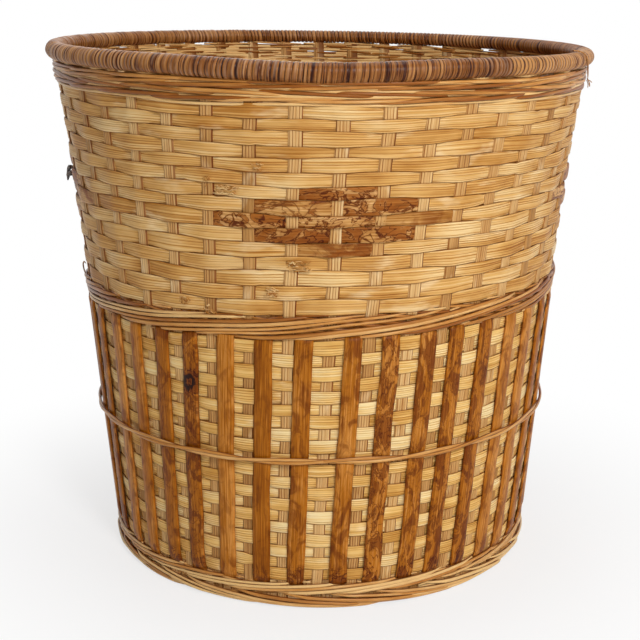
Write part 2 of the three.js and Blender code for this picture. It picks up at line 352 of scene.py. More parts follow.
class Skins:
    """Closed skins over rows of cross-sections, gathered into one mesh."""

    def __init__(self):
        self.points = []
        self.faces = []
        self.uvs = []
        self.values = {"tone": [], "mark": [], "seed": []}
        self.count = 0

    def add(self, rings, along, around, tone, mark=0.0, is_loop=False):
        """rings: points of the cross-sections. along and around: their places in the UV map, with one
        more around than the section has corners. tone and mark: values for each cross-section. The
        first tone is also the skin's seed, which shifts its texture."""
        sections, corners = rings.shape[:2]
        tone = np.broadcast_to(tone, sections)
        spans = sections if is_loop else sections - 1
        ring, side = np.meshgrid(np.arange(spans), np.arange(corners), indexing="ij")
        here = ring * corners
        there = (ring + 1) % sections * corners
        after = (side + 1) % corners
        quads = np.stack([here + side, there + side, there + after, here + after], -1)
        faces = quads.reshape(-1, 4).tolist()
        u = np.stack([along[ring], along[ring + 1], along[ring + 1], along[ring]], -1)
        v = np.stack([around[side], around[side], around[side + 1], around[side + 1]], -1)
        uvs = np.stack([u, v], -1).reshape(-1, 2)
        if not is_loop:
            last = (sections - 1) * corners
            faces.append(list(range(corners)))
            faces.append([last + corner for corner in range(corners)][::-1])
            first_cap = np.stack([np.full(corners, along[0]), around[:corners]], -1)
            last_cap = np.stack([np.full(corners, along[-1]), around[:corners][::-1]], -1)
            uvs = np.concatenate([uvs, first_cap, last_cap])
        self.points.append(rings.reshape(-1, 3))
        self.faces += [[corner + self.count for corner in face] for face in faces]
        self.uvs.append(uvs)
        for key, values in (("tone", tone), ("mark", mark), ("seed", tone[0])):
            self.values[key].append(np.repeat(np.broadcast_to(values, sections), corners))
        self.count += sections * corners

    def piece(self, name, material, slot, *nodes):
        """The gathered skins as a piece of the basket, which stands for these CAD nodes."""
        mesh = bpy.data.meshes.new(name)
        mesh.from_pydata(np.concatenate(self.points), [], self.faces)
        layer = mesh.uv_layers.new(name="Strand")
        layer.data.foreach_set("uv", np.concatenate(self.uvs).astype(np.float32).ravel())
        for key, parts in self.values.items():
            values = mesh.attributes.new(key, "FLOAT", "POINT")
            values.data.foreach_set("value", np.concatenate(parts).astype(np.float32))
        mesh.polygons.foreach_set("use_smooth", np.ones(len(mesh.polygons), bool))
        mesh.materials.append(material)
        mesh.update()
        piece = add_object(name, mesh)
        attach(piece, "root")
        if nodes:
            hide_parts(*nodes)
        return piece


# Materials

# Noises, in waves a metre along and across a strand
SPLINT_FIBRES = (14, 3400)
SPLINT_LINES = (3, 1200)
SPLINT_PATCHES = (26, 70)
SPLINT_SHEENS = (38, 110)
RIB_WAVES = (9, 0)
RIB_BREAKS = (7, 500)
ROD_FIBRES = (30, 2200)
ROD_PATCHES = (50, 150)
BARK_FIBRES = (45, 2000)
BARK_PATCHES = (25, 70)
BARK_MOTTLES = (60, 120)
BARK_SWIRLS = (50, 90)
CANE_FIBRES = (3600, 50)
CANE_PATCHES = (60, 60)
SEED_SHIFT = 41.0

# Depths of the fibres in the surface, and how far the dark ribs of split bamboo wave to the sides
SPLINT_RELIEF = 0.3 * MM
FIBRE_RELIEF = 0.2 * MM
BARK_RELIEF = 0.25 * MM
RIB_WAVER = 2.0 * MM

# sRGB colours of the binding, of a painted sheen on bamboo and of a painted highlight on cane
CANE_COLOURS = ((90, 44, 10), (142, 86, 38), (192, 136, 78))
PAINTED_SHEEN = (255, 232, 186)
LIT_CANE = (230, 190, 156)

# sRGB tints, by which a colour is multiplied
STAKE_RIB = (190, 144, 88)
WEAVER_RIB = (212, 170, 114)
SPLINT_EDGE_SHADE = (150, 102, 56)
SHADE_BETWEEN_RODS = (138, 84, 34)
BARK_LINE = (150, 110, 60)
BURNT = (96, 82, 54)
CANE_FIBRE = (158, 122, 84)
SHADE_BETWEEN_TURNS = (64, 34, 10)


def rgba(colour):
    """Scene-linear values of an opaque sRGB colour given as 0 to 255."""
    parts = [((c / 255 + 0.055) / 1.055) ** 2.4 if c > 10 else c / 255 / 12.92 for c in colour]
    return (*parts, 1)


class Graph:
    """A material's node tree, with short calls for its nodes."""

    def __init__(self, name):
        self.material = bpy.data.materials.new(name)
        self.material.use_nodes = True
        self.tree = self.material.node_tree
        self.shader = self.tree.nodes["Principled BSDF"]

    def node(self, kind, inputs=(), **settings):
        made = self.tree.nodes.new("ShaderNode" + kind)
        for key, value in settings.items():
            setattr(made, key, value)
        for key, value in dict(inputs).items():
            self.feed(made.inputs[key], value)
        return made

    def feed(self, socket, value):
        if isinstance(value, bpy.types.NodeSocket):
            self.tree.links.new(value, socket)
        else:
            socket.default_value = value

    def set(self, **inputs):
        """Feeds the surface shader. An underscore in a name stands for a space."""
        for key, value in inputs.items():
            self.feed(self.shader.inputs[key.replace("_", " ")], value)

    def math(self, operation, *values):
        return self.node("Math", dict(enumerate(values)), operation=operation).outputs[0]

    def total(self, *terms):
        """Sum of (value, weight) pairs."""
        total = 0.0
        for value, weight in terms:
            total = self.math("ADD", total, self.math("MULTIPLY", value, weight))
        return total

    def centred(self, *terms):
        """Sum of (value, weight) pairs, shifted so that it is 0.5 where every value is 0.5."""
        shift = (sum(weight for _, weight in terms) - 1) / 2
        return self.math("SUBTRACT", self.total(*terms), shift)

    def attribute(self, name):
        return self.node("Attribute", attribute_name=name).outputs["Fac"]

    def uv(self):
        return self.node("UVMap", uv_map="Strand").outputs[0]

    def along_across(self):
        """The UV map's two coordinates, along the strand and across it."""
        split = self.node("SeparateXYZ", {0: self.uv()})
        return split.outputs[0], split.outputs[1]

    def strand(self, along, across):
        """Texture coordinates: the strand's UV map at these waves a metre, shifted by the skin's seed."""
        scaled = self.node("VectorMath", {0: self.uv(), 1: (along, across, 1)}, operation="MULTIPLY")
        shift = self.math("MULTIPLY", self.attribute("seed"), SEED_SHIFT)
        shift = self.node("CombineXYZ", {"Z": shift})
        both = {0: scaled.outputs[0], 1: shift.outputs[0]}
        return self.node("VectorMath", both, operation="ADD").outputs[0]

    def noise(self, vector, detail=3.0, roughness=0.55, distortion=0.0):
        inputs = {"Vector": vector, "Scale": 1.0, "Detail": detail}
        inputs |= {"Roughness": roughness, "Distortion": distortion}
        return self.node("TexNoise", inputs).outputs["Fac"]

    def ramp(self, value, positions, colours):
        made = self.node("ValToRGB", {"Fac": value})
        elements = made.color_ramp.elements
        while len(elements) < len(colours):
            elements.new(0.5)
        for element, position, colour in zip(elements, positions, colours):
            element.position = position
            element.color = rgba(colour)
        return made.outputs["Color"]

    def mask(self, value, low, high):
        """0 at low, 1 at high, smooth between."""
        inputs = {"Value": value, "From Min": low, "From Max": high}
        return self.node("MapRange", inputs, interpolation_type="SMOOTHSTEP").outputs[0]

    def band(self, value, middle, outer, inner):
        """1 up to the inner distance from the middle, 0 from the outer one on."""
        distance = self.math("ABSOLUTE", self.math("SUBTRACT", value, middle))
        return self.mask(distance, outer, inner)

    def mix(self, factor, first, second, blend="MIX"):
        """Two colours. A Mix node has its colours at sockets 6 and 7, and their blend at output 2."""
        made = self.node("Mix", data_type="RGBA", blend_type=blend)
        for index, value in ((0, factor), (6, first), (7, second)):
            self.feed(made.inputs[index], value)
        return made.outputs[2]

    def shade(self, colour, factor, tint):
        """The colour, multiplied by a tint where the factor is 1."""
        return self.mix(factor, colour, rgba(tint), "MULTIPLY")

    def bump(self, height, distance, strength):
        inputs = {"Height": height, "Distance": distance, "Strength": strength}
        return self.node("Bump", inputs).outputs[0]


def splint_material(name, colours, half_width, ribs, rib_tint):
    """Split bamboo: straight lengthwise fibres, slow patches, patches of painted sheen, painted shade
    along the edges and each strand's own tone. colours: dark, body and pale. ribs: the distance between
    the dark lines along the strand."""
    g = Graph(name)
    fine = g.noise(g.strand(*SPLINT_FIBRES), detail=2.0)
    line = g.noise(g.strand(*SPLINT_LINES), detail=1.5)
    patch = g.noise(g.strand(*SPLINT_PATCHES))
    value = g.centred((fine, 0.3), (line, 0.5), (patch, 0.75), (g.attribute("tone"), 0.25))
    colour = g.ramp(value, (0.3, 0.5, 0.7), colours)
    # Whitish patches of painted sheen, mixed into the colour
    sheen_patch = g.mask(g.noise(g.strand(*SPLINT_SHEENS)), 0.56, 0.72)
    colour = g.mix(g.math("MULTIPLY", sheen_patch, 0.45), colour, rgba(PAINTED_SHEEN))
    side = g.along_across()[1]
    waver = g.math("MULTIPLY", g.noise(g.strand(*RIB_WAVES), detail=1.0), RIB_WAVER)
    wave = g.math("COSINE", g.math("MULTIPLY", g.math("ADD", side, waver), 2 * math.pi / ribs))
    kept = g.mask(g.noise(g.strand(*RIB_BREAKS), detail=1.0), 0.3, 0.6)
    groove = g.math("MULTIPLY", g.mask(wave, 0.5, 0.97), kept)
    colour = g.shade(colour, groove, rib_tint)
    # Painted shade along the strip's edges, where shade falls between rows and beside stakes
    edge = g.math("DIVIDE", g.math("ABSOLUTE", side), half_width)
    colour = g.shade(colour, g.mask(edge, 0.86, 1.0), SPLINT_EDGE_SHADE)
    g.set(Base_Color=colour, Roughness=0.44, Specular_IOR_Level=0.12)
    height = g.total((fine, 0.4), (line, 0.6), (groove, -0.7))
    g.set(Normal=g.bump(height, SPLINT_RELIEF, 0.8))
    return g.material


def rod_material(name, colours, roughness):
    """Cane rod: lengthwise fibres, a tone for each rod, and painted shade above and below where rods
    lie together.
    """
    g = Graph(name)
    fine = g.noise(g.strand(*ROD_FIBRES), detail=2.0)
    patch = g.noise(g.strand(*ROD_PATCHES))
    value = g.centred((fine, 0.4), (patch, 0.4), (g.attribute("tone"), 0.45))
    colour = g.ramp(value, (0.28, 0.5, 0.72), colours)
    # Painted shade on each rod's upper and lower sides, where rods lie together
    turn = g.math("MULTIPLY", g.along_across()[1], 2 * math.pi / ROD_GIRTH)
    facing = g.math("ABSOLUTE", g.math("COSINE", turn))
    colour = g.shade(colour, g.mask(facing, 0.85, 0.1), SHADE_BETWEEN_RODS)
    g.set(Base_Color=colour, Roughness=roughness, Specular_IOR_Level=0.22)
    g.set(Normal=g.bump(fine, FIBRE_RELIEF, 0.6))
    return g.material


def bark_material(name, colours, blotch, scale):
    """Bark: blotches of a tint and dark winding lines where the mark is high, and a burnt ring round a
    knot, where it is highest. A high scale makes the blotches small."""
    g = Graph(name)
    mark = g.attribute("mark")
    fine = g.noise(g.strand(*BARK_FIBRES))
    slow = g.noise(g.strand(*BARK_PATCHES), detail=2.0)
    value = g.centred((fine, 0.9), (slow, 0.55), (g.attribute("tone"), 0.2))
    colour = g.ramp(value, (0.3, 0.5, 0.7), colours)
    waves = [scale * rate for rate in BARK_MOTTLES]
    mottle = g.noise(g.strand(*waves), detail=3.5, roughness=0.6, distortion=1.0)
    reached = g.total((mottle, 1.0), (mark, 0.08))
    blotched = g.math("MULTIPLY", g.mask(reached, 0.46, 0.68), g.mask(mark, -0.5, 0.6))
    colour = g.shade(colour, blotched, blotch)
    ring = g.band(reached, 0.6, 0.024, 0.006)
    waves = [scale * rate for rate in BARK_SWIRLS]
    swirl = g.noise(g.strand(*waves), detail=2.0, roughness=0.5, distortion=2.2)
    line = g.math("MAXIMUM", g.band(swirl, 0.52, 0.028, 0.008), ring)
    colour = g.shade(colour, g.math("MULTIPLY", line, g.mask(mark, 0.2, 1.2)), BARK_LINE)
    side = g.math("DIVIDE", g.along_across()[1], KNOT_HALF_WIDTH)
    scorched = g.total((mark, 1.0), (mottle, 6.0), (g.math("MULTIPLY", side, side), -1.2))
    burnt = g.math("SUBTRACT", g.mask(scorched, 4.9, 5.6), g.mask(scorched, 7.3, 7.8))
    colour = g.shade(colour, burnt, BURNT)
    g.set(Base_Color=colour, Roughness=0.42, Specular_IOR_Level=0.12)
    g.set(Normal=g.bump(g.total((fine, 0.7), (mottle, 0.6)), BARK_RELIEF, 0.7))
    return g.material


def cane_material():
    """The rim's binding: one tone a turn, fibres along the cane, painted shade between turns, darker where
    the groove is deeper, and here and there a painted highlight along the middle of a turn."""
    g = Graph("rim_cane")
    fine = g.noise(g.strand(*CANE_FIBRES))
    slow = g.noise(g.strand(*CANE_PATCHES), detail=2.0)
    value = g.centred((fine, 0.9), (g.attribute("tone"), 0.45), (slow, 0.2))
    colour = g.ramp(value, (0.28, 0.5, 0.75), CANE_COLOURS)
    turn = g.math("FRACT", g.math("DIVIDE", g.along_across()[0], CANE_TURN))
    side = g.math("ABSOLUTE", g.math("SUBTRACT", turn, 0.5))
    # Painted shade in the groove between turns, darker where the mark says the groove is deeper
    between = g.math("MULTIPLY", g.mask(side, 0.36, 0.46), g.attribute("mark"))
    colour = g.shade(colour, g.mask(fine, 0.47, 0.37), CANE_FIBRE)
    colour = g.shade(colour, between, SHADE_BETWEEN_TURNS)
    # Painted highlight along the middle of some turns
    lit = g.math("MULTIPLY", g.mask(side, 0.28, 0.05), g.mask(slow, 0.45, 0.65))
    colour = g.mix(g.math("MULTIPLY", lit, 0.25), colour, rgba(LIT_CANE))
    g.set(Base_Color=colour, Roughness=0.36, Specular_IOR_Level=0.16)
    g.set(Normal=g.bump(fine, FIBRE_RELIEF, 0.7))
    return g.material


STAKE_COLOURS = ((176, 126, 68), (207, 156, 94), (230, 190, 130))
LOWER_COLOURS = ((208, 152, 72), (242, 196, 116), (252, 226, 168))
UPPER_COLOURS = ((186, 126, 54), (224, 172, 98), (246, 212, 152))
# The mat's colours are paler than the stakes': painted light for the dim inside of the basket
MAT_COLOURS = ((186, 134, 74), (222, 176, 112), (240, 206, 150))
LATH_COLOURS = ((170, 130, 84), (200, 164, 116), (222, 192, 148))
ROD_COLOURS = ((148, 84, 22), (206, 142, 68), (240, 198, 132))
BARK_COLOURS = ((138, 73, 2), (180, 107, 20), (212, 144, 68))
MOTIF_COLOURS = ((164, 104, 38), (204, 150, 84), (234, 190, 130))
TUFT_COLOURS = ((34, 20, 10), (62, 40, 22), (96, 68, 42))
BARK_BLOTCH = (182, 156, 112)
MOTIF_BLOTCH = (192, 150, 98)

STAKE = splint_material("stake", STAKE_COLOURS, 3.3 * MM, 1.35 * MM, STAKE_RIB)
LOWER = splint_material("lower_splint", LOWER_COLOURS, 3.4 * MM, 1.1 * MM, WEAVER_RIB)
UPPER = splint_material("upper_splint", UPPER_COLOURS, 3.5 * MM, 1.15 * MM, WEAVER_RIB)
MAT = splint_material("mat_splint", MAT_COLOURS, 7 * MM, 2 * MM, STAKE_RIB)
LATH = splint_material("lath", LATH_COLOURS, 3 * MM, 1.5 * MM, STAKE_RIB)
ROD = rod_material("rod", ROD_COLOURS, roughness=0.33)
TUFT_BARK = rod_material("tuft_bark", TUFT_COLOURS, roughness=0.6)
BARK = bark_material("bark_slat", BARK_COLOURS, BARK_BLOTCH, scale=1.4)
MOTIF_BARK = bark_material("motif_bark", MOTIF_COLOURS, MOTIF_BLOTCH, scale=1.1)
CANE = cane_material()

# Pieces


def strip_section(corners, crown, thickness, grooves=0):
    """Places across a strip from -1 to 1 and its heights above its middle, outer side then inner side."""
    outer = np.linspace(-1, 1, corners)
    inner = np.array([1, 0, -1]) * INNER_WIDTH
    rise = thickness / 2 * (1 - EDGE_LOSS * outer**EDGE_POWER) + crown * (1 - outer**2)
    if grooves:
        rise = rise - GROOVE_DEPTH * (0.5 + 0.5 * np.cos(math.pi * (outer + 1) * grooves))
    across = np.concatenate([outer, inner])
    depth = np.concatenate([rise, np.full(len(inner), -thickness / 2)])
    return across, depth


def rows_laid(station):
    """Rows that a weaver has laid when it reaches a station: one more in each turn, gained at the back."""
    turns = np.floor(station / STAKES)
    return turns + np.minimum(1, (station % STAKES) / CLIMB_BAYS)


def swing_of(station):
    """How far a weaver stands out from the line of stakes: in at even stations, out at odd ones, and
    straight between the stakes' edges."""
    to_odd = np.abs(station % 2 - 1)
    return WEAVER_SWING * np.clip(SWING_SLOPE * (1 - 2 * to_odd), -1, 1)


class Weaver:
    """A flat weaver that spirals in and out of the stakes over its CAD node's zone."""

    def __init__(self, node, rows, first_stake, seed):
        low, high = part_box(node)
        self.node = node
        self.bottom = low.z
        self.rows = rows
        self.pitch = (high.z - low.z) / rows
        self.first_stake = first_stake
        self.seed = seed

    def top_edge(self, station):
        """Height that the weave has reached at a station: rows of uneven height, level at both ends."""
        laid = np.clip(rows_laid(station), 0, self.rows)
        uneven = ROW_WANDER * (wander(station * 0.35, self.seed) + 0.4 * wander(station, self.seed + 1))
        inside = np.clip(np.minimum(laid, self.rows - laid), 0, 1)
        return self.bottom + laid * self.pitch + uneven * inside

    def edges(self, station):
        """Each turn of the weaver lies on the top edge of the turn below."""
        return self.top_edge(station - STAKES), self.top_edge(station)

    def rings(self, station, across, depth, width=1.0, lift=0.0):
        """Cross-sections of the weaver at stations, or of a strip of some width that lies on it."""
        low, high = self.edges(station)
        parted = ROW_PARTING * np.clip(wander(station * 2.5, self.seed + 4) - PARTING_ABOVE, 0, 1)
        half = ((high - low) / 2 + ROW_OVERLAP * np.abs(np.cos(math.pi * station)) - parted) * width
        middle = (low + high) / 2
        offset = swing_of(station) * (1 + 0.08 * wander(station * 0.7, self.seed + 2)) + lift
        twist = WEAVER_TWIST * wander(station * 0.6, self.seed + 3)
        level = middle[:, None] + across * half[:, None]
        radius = wall_radius(level) + offset[:, None] + depth + twist[:, None] * across
        angle = station_angle((self.first_stake + station)[:, None], level)
        return place(radius, angle, level)

    def tone(self, station):
        """Tones of the stretches between two stakes that hide the strip."""
        rng = np.random.default_rng(self.seed)
        tones = rng.uniform(0, 1, self.rows * STAKES)
        return np.interp(station, np.arange(len(tones)) * 2 + 1, tones)


def add_weaver(weaver, material, slot):
    end = weaver.rows * STAKES + CLIMB_BAYS - WEAVER_SHORT
    station = np.arange(WEAVER_SHORT, end, STEP)
    across, depth = strip_section(STRIP_CORNERS, WEAVER_CROWN, WEAVER_THICKNESS)
    rng = np.random.default_rng(weaver.seed)
    ridges = np.zeros((len(station), len(across)))
    for corner in range(1, STRIP_CORNERS - 1):
        wave = wander(station * 0.3, weaver.seed + 10 + corner)
        ridges[:, corner] = RIDGE * (rng.uniform(-1, 1) + 1.5 * wave)
    rings = weaver.rings(station, across, depth + ridges)
    along = length_of(np.append(station, station[-1] + 1))
    skins = Skins()
    skins.add(rings, along, closed(across) * weaver.pitch / 2, weaver.tone(station))
    return skins.piece(weaver.node + "_strip", material, slot, weaver.node)


def add_motif(weaver, material, stake, number):
    """A diamond of nine bark strips laid over the weaver, with their ends tucked behind stakes. The
    lowest strip and the one farthest right are the least mottled."""
    across, depth = strip_section(STRIP_CORNERS, MOTIF_CROWN, MOTIF_THICKNESS)
    around = closed(across) * weaver.pitch / 2
    skins = Skins()
    for step in range(-MOTIF_REACH, MOTIF_REACH + 1):
        reach = MOTIF_REACH - abs(step)
        for side in range(-reach, reach + 1, 2):
            middle = (stake + side - weaver.first_stake) % STAKES + (MOTIF_ROW + step) * STAKES
            station = middle + np.linspace(-MOTIF_END, MOTIF_END, MOTIF_SECTIONS)
            rng = np.random.default_rng(number * 100 + step * 10 + side + 40)
            rings = weaver.rings(station, across, depth, MOTIF_WIDTH, MOTIF_LIFT)
            mark = rng.uniform(0.8, 1.6) - 0.9 * (step == -MOTIF_REACH) - 0.6 * (side == MOTIF_REACH)
            along = length_of(np.append(station, middle + 1))
            skins.add(rings, along, around, rng.uniform(0, 1), mark)
    return skins.piece(f"motif_{number}", material, "bark_slat")


def upright_skin(station, bottom, top, width, section, seat, seed, mark):
    """The skin of a strip that stands along the wall. Its width, seat and mark depend on the height."""
    level = np.linspace(bottom, top, int((top - bottom) / UPRIGHT_STEP))
    across, depth = section
    rng = np.random.default_rng(seed)
    sway = UPRIGHT_SWAY * wander(level * 60, seed)
    half = width(level) / 2 * (1 + 0.025 * wander(level * 90, seed + 1))
    ridges = rng.uniform(-1, 1, len(across)) * RIDGE
    radius = (wall_radius(level) + seat(level))[:, None] + depth + ridges
    angle = station_angle(station, level)[:, None] + (sway[:, None] + across * half[:, None]) / radius
    rings = place(radius, angle, level[:, None])
    around = closed(across) * width(level).mean() / 2
    skins = Skins()
    skins.add(rings[:, ::-1], np.append(level, top), around[::-1], rng.uniform(0, 1), mark(level))
    return skins


def add_stakes(material):
    low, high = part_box("base_and_stakes")

    def width(level):
        return np.interp(level, [low.z, high.z], [STAKE_FOOT_WIDTH, STAKE_TOP_WIDTH])

    section = strip_section(STAKE_CORNERS, STAKE_CROWN, STAKE_THICKNESS, STAKE_GROOVES)
    seat = mark = np.zeros_like
    for k in range(STAKES):
        skins = upright_skin(k, STAKE_BOTTOM, RIM_LEVEL, width, section, seat, 100 + k, mark)
        skins.piece(f"stake_{k + 1:02d}", material, "stake", "base_and_stakes")


def add_slats(material):
    section = strip_section(STRIP_CORNERS, SLAT_CROWN, SLAT_THICKNESS)
    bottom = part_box("lower_weaver")[0].z - SLAT_OVERRUN
    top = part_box("lower_weaver")[1].z + SLAT_OVERRUN

    def width(level):
        return np.full(len(level), SLAT_WIDTH)

    def seat(level):
        """The ends are tucked behind the rods."""
        tucked = 1 - np.clip(np.minimum(level - bottom, top - level) / SLAT_TUCK, 0, 1)
        return SLAT_SEAT + SLAT_THICKNESS / 2 - SLAT_TUCK_DEPTH * tucked

    rng = np.random.default_rng(3)
    for k in range(STAKES):
        turned = k if k < STAKES / 2 else k - STAKES
        shift = SLAT_SHIFTS.get(turned, rng.uniform(-0.6, 0.6))
        mottle = SLAT_MOTTLES.get(turned, rng.uniform(0, 1.2))
        stain = rng.uniform(0, 0.8)
        knot = KNOT_MARK * (turned == KNOT_SLAT)

        def mark(level):
            near_foot = np.clip((STAIN_LEVEL - level) / STAIN_REACH, 0, 1)
            near_knot = np.exp(-(((level - KNOT_LEVEL) / KNOT_REACH) ** 2))
            return mottle + stain * near_foot + knot * near_knot

        station = k + 0.5 + math.radians(shift) / BAY
        skins = upright_skin(station, bottom, top, width, section, seat, 200 + k, mark)
        skins.piece(f"slat_{k + 1:02d}_bark", material, "bark_slat", f"slat_{k + 1:02d}")


class Layer(NamedTuple):
    """A layer of strokes in a waled band: its edges, bays a stroke, how many strokes, whether they rise,
    their side of the wall and how far they stand proud."""

    low: float
    high: float
    bays: float
    strokes: int
    rises: bool = True
    side: int = OUTER
    proud: float = 0.0


def rod_section(depth, height):
    """Depths and heights of a rod's outline about its middle, from its inner side round, and places round
    it for the UV map."""
    turn = np.arange(ROD_CORNERS) / ROD_CORNERS * 2 * math.pi + math.pi
    around = np.arange(ROD_CORNERS + 1) / ROD_CORNERS * ROD_GIRTH
    return np.cos(turn) * depth / 2, np.sin(turn) * height / 2, around


def rod_tone_and_shade(rng, layer):
    """Tone of a rod, with painted light and shade. Deep rods are darker than proud ones, as painted shade
    of their recess, but under the rim it is the other way round: proud rods are darkened as painted
    shade of the rim, and deep ones, seen from inside, are paler as painted light. The foot's rods are
    paler than the waist's."""
    tone = rng.uniform(0, 1)
    # Under the rim: painted light on the deep rods, painted shade of the rim on the proud ones
    if layer.low > TOP_BAND_LOW:
        return 0.4 * tone + 0.75 if layer.proud < 0 else 0.9 * tone - 0.3
    # Elsewhere deep rods are darker, as painted shade of their recess
    if layer.proud < 0:
        tone = 0.4 * tone
    return tone + 0.4 if layer.low < FOOT_TOP else tone - 0.05


def add_stroke(skins, start, bays, layer, seed):
    """One stretch of rod in a waled band: out from behind a stake, slanting over some bays and back in."""
    rng = np.random.default_rng(seed)
    size = rng.uniform(0.82, 1.15)
    height = ROD_HEIGHT * size
    share = np.linspace(0, 1, int(bays * STROKE_STEPS))
    climb = 0.6 * share + 0.4 * share * share * (3 - 2 * share)
    if not layer.rises:
        climb = 1 - climb
    level = layer.low + height / 2 + (layer.high - layer.low - height) * climb
    level = level + STROKE_WANDER * wander(share * bays * 0.8, seed)
    ends = np.clip(np.minimum(share, 1 - share) * bays / min(STROKE_END, bays / 2), 0, 1)
    ends = ends * ends * (3 - 2 * ends)
    tucked = (STROKE_TUCK + layer.proud) * (1 - ends)
    depth = STAKE_THICKNESS / 2 + ROD_DEPTH * size / 2 + layer.proud - tucked
    depth = depth + STROKE_SWAY * wander(share * bays * 0.9, seed + 1)
    outs, ups, around = rod_section(ROD_DEPTH * size, height)
    thick = (0.45 + 0.55 * ends)[:, None]
    radius = wall_radius(level)[:, None] + layer.side * (depth[:, None] + outs * thick)
    angle = station_angle(start + share * bays, level)[:, None]
    rings = place(radius, angle, level[:, None] + ups * thick)
    if layer.side == INNER:
        rings = rings[:, ::-1]
    skins.add(rings, length_of(np.append(share, 1) * bays), around, rod_tone_and_shade(rng, layer))


def add_wale(node, material, layers, *others):
    """A waled band. The strokes of a layer start evenly round it, inner ones just past a stake."""
    skins = Skins()
    for number, layer in enumerate(layers):
        rng = np.random.default_rng(number)
        for k in range(layer.strokes):
            start = k * STAKES / layer.strokes + number * 0.7 + rng.uniform(-0.2, 0.2)
            if layer.side == INNER:
                start = math.floor(k * STAKES / layer.strokes) + number % 2 + 0.1
            bays = layer.bays * rng.uniform(0.94, 1.06)
            add_stroke(skins, start, bays, layer, 1000 * (number + 1) + k)
    return skins.piece(node + "_rods", material, "rod", node, *others)


def inner_layers(low, high):
    """Short strokes on the inner side, which leave every other stake in sight."""
    row = (high - low) / INNER_ROWS
    layers = []
    for i in range(INNER_ROWS):
        edge = low + (i + 1) * row + INNER_OVERLAP
        layers.append(Layer(low + i * row, edge, bays=1.8, strokes=20, side=INNER))
    return layers


def foot_layers():
    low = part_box("foot_hoop")[0].z
    high = FOOT_TOP
    return [
        Layer(high - 8.4 * MM, high, bays=6, strokes=26, proud=0.3 * MM),
        Layer(high - 9 * MM, high, bays=4, strokes=36, rises=False, proud=DEEP),
        Layer(low + 0.2 * MM, low + 8.5 * MM, bays=5, strokes=28, rises=False, proud=1.1 * MM),
        Layer(low, low + 4 * MM, bays=6, strokes=14, rises=False, proud=0.6 * MM),
        *inner_layers(low + 3 * MM, high),
        Layer(low + 1.4 * MM, low + 3.8 * MM, bays=9, strokes=7, side=INNER, proud=-0.9 * MM),
    ]


def waist_layers():
    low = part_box("waist_wale")[0].z - 0.5 * MM
    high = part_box("waist_wale")[1].z + 0.8 * MM
    return [
        Layer(low, high, bays=8, strokes=30, proud=0.3 * MM),
        Layer(low, high + 0.6 * MM, bays=5, strokes=38, rises=False, proud=DEEP),
        *inner_layers(low, high),
    ]


def top_layers():
    """Rows of proud strokes, the second of which falls, deep ones behind them, and short ones in the slit
    under the rim."""
    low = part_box("top_wale")[0].z - 0.6 * MM
    high = TOP_BAND_HIGH
    row = (high - low) / TOP_ROWS
    layers = []
    for i in range(TOP_ROWS):
        edge = high if i == TOP_ROWS - 1 else low + (i + 1) * row + 1.2 * MM
        layers.append(Layer(low + i * row, edge, bays=4, strokes=24, rises=i != 1, proud=0.1 * MM))
    row = (high - low) / TOP_DEEP_ROWS
    for i in range(TOP_DEEP_ROWS):
        level = low - 1.4 * MM + i * row
        rises = i % 2 == 0
        layers.append(Layer(level, level + row + 1.1 * MM, bays=11, strokes=5, rises=rises, proud=DEEP))
    layers.append(Layer(high - 1.2 * MM, high + 1.4 * MM, bays=1.4, strokes=27, proud=-0.4 * MM))
    return layers


def add_twine(material):
    """Two thin canes twined round the slats."""
    skins = Skins()
    low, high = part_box("slat_twine")
    middle = (low.z + high.z) / 2
    station = np.arange(0, STAKES, STEP)
    outs, ups, around = rod_section(TWINE_DEPTH, TWINE_HEIGHT)
    seat = SLAT_SEAT + SLAT_THICKNESS + SLAT_CROWN + TWINE_SEAT
    for strand in range(2):
        turn = math.pi * station * TWINE_CROSSINGS / STAKES + strand * math.pi
        level = middle + TWINE_RISE * np.sin(turn)
        depth = seat + TWINE_SWING * (1 + np.cos(turn))
        radius = wall_radius(level)[:, None] + depth[:, None] + outs
        rings = place(radius, station_angle(station, level)[:, None], level[:, None] + ups)
        along = length_of(np.arange(len(station) + 1) * STEP)
        skins.add(rings, along, around, 0.4 + 0.2 * strand, is_loop=True)
    return skins.piece("slat_twine_strands", material, "rod", "slat_twine")


